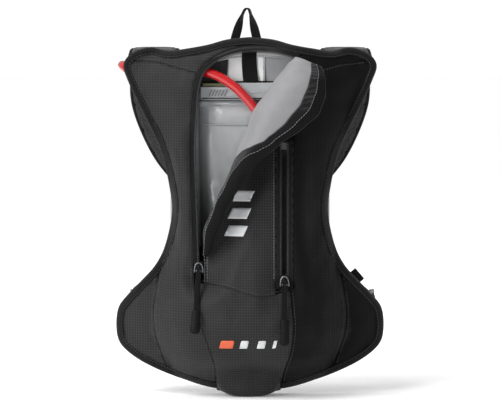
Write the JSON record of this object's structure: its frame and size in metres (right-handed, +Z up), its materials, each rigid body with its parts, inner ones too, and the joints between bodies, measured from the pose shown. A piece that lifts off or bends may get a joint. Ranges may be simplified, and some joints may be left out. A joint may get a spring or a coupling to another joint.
{
  "type": "hydration pack",
  "caption": "Low-profile hydration pack with hip wings, chest harness, unzipped mouth with folded front corner, outside zip pocket, water bladder and drinking hose.",
  "frame": {"origin": "middle of the lumbar pad's flat rear face, where the wearer's back meets it", "axes": "+X to the right seen from outside, +Z up towards the grab loop, -Y outwards, +Y to the wearer"},
  "size_m": [0.2848, 0.2148, 0.4044],
  "materials": {
    "ripstop": "matt coated ripstop",
    "ripstop_shade": "matt coated ripstop",
    "flap_lining": "satin coated back of the fabric",
    "lining_fabric": "satin lining",
    "back_mesh": "open air mesh over foam",
    "binding_tape": "woven tape",
    "webbing": "woven webbing",
    "black_acetal": "moulded, fine texture",
    "soft_grip": "soft moulded",
    "zinc": "plated die casting",
    "clear_tpu": "cloudy translucent film",
    "clip_plastic": "translucent moulding",
    "olive_plastic": "moulded",
    "red_tpu": "translucent red",
    "label_satin": "satin label"
  },
  "bodies": {
    "pack": {"back_panel": "back_mesh", "hose_port": "soft_grip", "edge_binding": "binding_tape", "back_pad_right": "back_mesh", "back_pad_left": "back_mesh", "back_pad_lumbar": "back_mesh", "mouth_lining": "lining_fabric", "grab_loop": "webbing", "left_wing_panel": "ripstop", "right_wing_panel": "ripstop_shade", "left_side_panel": "ripstop", "left_yoke_panel": "ripstop", "right_yoke_panel": "ripstop_shade", "centre_panel": "ripstop", "right_side_panel": "ripstop_shade", "lower_centre_panel": "ripstop", "pocket_bag": "lining_fabric", "main_zip_left_half": "binding_tape", "pocket_zip_left_half": "binding_tape", "pocket_zip_right_half": "binding_tape", "bladder_body": "clear_tpu", "bladder_slide_clip": "clip_plastic", "bladder_top_rail": "olive_plastic", "care_label": "label_satin", "bladder_hanger": "webbing", "quick_connect_port": "black_acetal", "quick_connect_elbow": "black_acetal", "drinking_hose": "red_tpu", "hose_keeper_upper": "webbing", "hose_keeper_lower": "webbing", "bite_valve_body": "black_acetal", "bite_valve_mouthpiece": "soft_grip", "chest_buckle_female": "black_acetal", "shoulder_strap_left": "back_mesh", "webbing_upper_left": "webbing", "strap_tab_left": "webbing", "hip_tab_left": "webbing", "webbing_lower_left": "webbing", "shoulder_strap_right": "back_mesh", "webbing_upper_right": "webbing", "strap_tab_right": "webbing", "hip_tab_right": "webbing", "webbing_lower_right": "webbing", "hip_loop_right": "webbing"},
    "main_zip_runner": {"main_zip_slider": "zinc"},
    "main_zip_pull": {"main_zip_pull_cord": "webbing", "main_zip_pull_grip": "soft_grip"},
    "pocket_zip_runner": {"pocket_zip_slider": "zinc"},
    "pocket_zip_pull": {"pocket_zip_pull_cord": "webbing", "pocket_zip_pull_grip": "soft_grip"},
    "flap": {"flap_panel": "flap_lining", "flap_zip_half": "binding_tape"},
    "buckle_insert": {"chest_buckle_male": "black_acetal"},
    "valve_lock": {"bite_valve_lock": "red_tpu"},
    "connector_button": {"quick_connect_button": "red_tpu"},
    "lock_upper_left": {"ladder_lock_upper_left": "black_acetal"},
    "lock_upper_right": {"ladder_lock_upper_right": "black_acetal"},
    "lock_lower_left": {"ladder_lock_lower_left": "black_acetal"},
    "lock_lower_right": {"ladder_lock_lower_right": "black_acetal"}
  },
  "joints": [
    {"name": "main_zip_slide", "type": "slide", "parent": "pack", "child": "main_zip_runner", "axis": [-0.0364, 0.1538, 0.9874], "range_m": [0, 0.105]},
    {"name": "main_pull_swing", "type": "hinge", "parent": "main_zip_runner", "child": "main_zip_pull", "pos_m": [-0.05341, -0.0666, 0.035], "axis": [-1, 0, 0], "range_deg": [0, 150]},
    {"name": "pocket_zip_slide", "type": "slide", "parent": "pack", "child": "pocket_zip_runner", "axis": [0, 0.1577, 0.9875], "range_m": [0, 0.104]},
    {"name": "pocket_pull_swing", "type": "hinge", "parent": "pocket_zip_runner", "child": "pocket_zip_pull", "pos_m": [0.0358, -0.0828, 0.022], "axis": [-1, 0, 0], "range_deg": [0, 150]},
    {"name": "flap_fold", "type": "hinge", "parent": "pack", "child": "flap", "pos_m": [0.0525, -0.031, 0.261], "axis": [-0.4138, -0.117, -0.9028], "range_deg": [-10, 50]},
    {"name": "chest_buckle_release", "type": "slide", "parent": "pack", "child": "buckle_insert", "axis": [1, 0, 0], "range_m": [0, 0.028], "deforming": ["webbing_upper_right", "webbing_lower_right"]},
    {"name": "ladder_lock_upper_left_tilt", "type": "hinge", "parent": "pack", "child": "lock_upper_left", "pos_m": [-0.04976, 0.09323, 0.11572], "axis": [0.9326, 0, 0.361], "range_deg": [0, 30], "deforming": ["webbing_upper_left"]},
    {"name": "ladder_lock_upper_right_tilt", "type": "hinge", "parent": "pack", "child": "lock_upper_right", "pos_m": [0.04976, 0.09323, 0.11572], "axis": [0.9326, 0, -0.361], "range_deg": [0, 30]},
    {"name": "ladder_lock_lower_left_tilt", "type": "hinge", "parent": "pack", "child": "lock_lower_left", "pos_m": [-0.12138, 0.01783, -0.007], "axis": [0, 0, 1], "range_deg": [0, 30], "deforming": ["webbing_lower_left"]},
    {"name": "ladder_lock_lower_right_tilt", "type": "hinge", "parent": "pack", "child": "lock_lower_right", "pos_m": [0.12638, 0.02083, -0.007], "axis": [0, 0, -1], "range_deg": [0, 30]},
    {"name": "bite_valve_twist", "type": "hinge", "parent": "pack", "child": "valve_lock", "pos_m": [-0.06319, 0.10499, 0.13228], "axis": [0.4004, 0.3403, -0.8508], "range_deg": [0, 90]},
    {"name": "quick_connect_press", "type": "slide", "parent": "pack", "child": "connector_button", "axis": [1, 0, 0], "range_m": [0, 0.002], "stiffness_N_per_m": 400}
  ]
}
